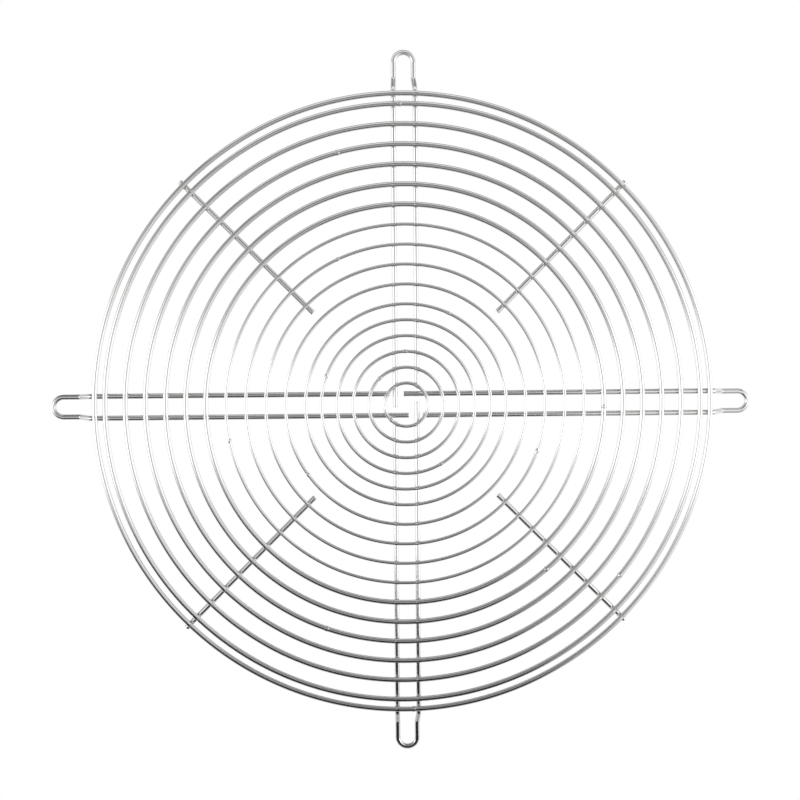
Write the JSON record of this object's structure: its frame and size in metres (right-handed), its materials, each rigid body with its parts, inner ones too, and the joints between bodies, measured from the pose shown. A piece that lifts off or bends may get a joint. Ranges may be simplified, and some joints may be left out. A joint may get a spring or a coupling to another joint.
{
  "type": "wire fan guard",
  "caption": "round wire finger guard: concentric rings welded on hairpin spokes and diagonal stays, the spokes stepping down outside the rim to flat mounting loops",
  "frame": {"origin": "the middle of the mounting face, on the guard's own axis, where the four loops' undersides touch the fan or panel", "axes": "+Z is the guard's axis, pointing away from the fan; +X and +Y run out through two of the four mounting loops"},
  "size_m": [0.359, 0.359, 0.0112],
  "materials": {
    "ring_wire": "gloss",
    "spoke_wire": "gloss",
    "stay_wire": "gloss"
  },
  "bodies": {
    "root": {"ring_01": "ring_wire", "ring_02": "ring_wire", "ring_03": "ring_wire", "ring_04": "ring_wire", "ring_05": "ring_wire", "ring_06": "ring_wire", "ring_07": "ring_wire", "ring_08": "ring_wire", "ring_09": "ring_wire", "ring_10": "ring_wire", "ring_11": "ring_wire", "ring_12": "ring_wire", "ring_13": "ring_wire", "ring_14": "ring_wire", "ring_15": "ring_wire", "ring_16": "ring_wire", "rim_ring": "ring_wire", "spoke_east": "spoke_wire", "spoke_north": "spoke_wire", "spoke_west": "spoke_wire", "spoke_south": "spoke_wire", "stay_north_east": "stay_wire", "stay_north_west": "stay_wire", "stay_south_west": "stay_wire", "stay_south_east": "stay_wire"}
  },
  "joints": []
}
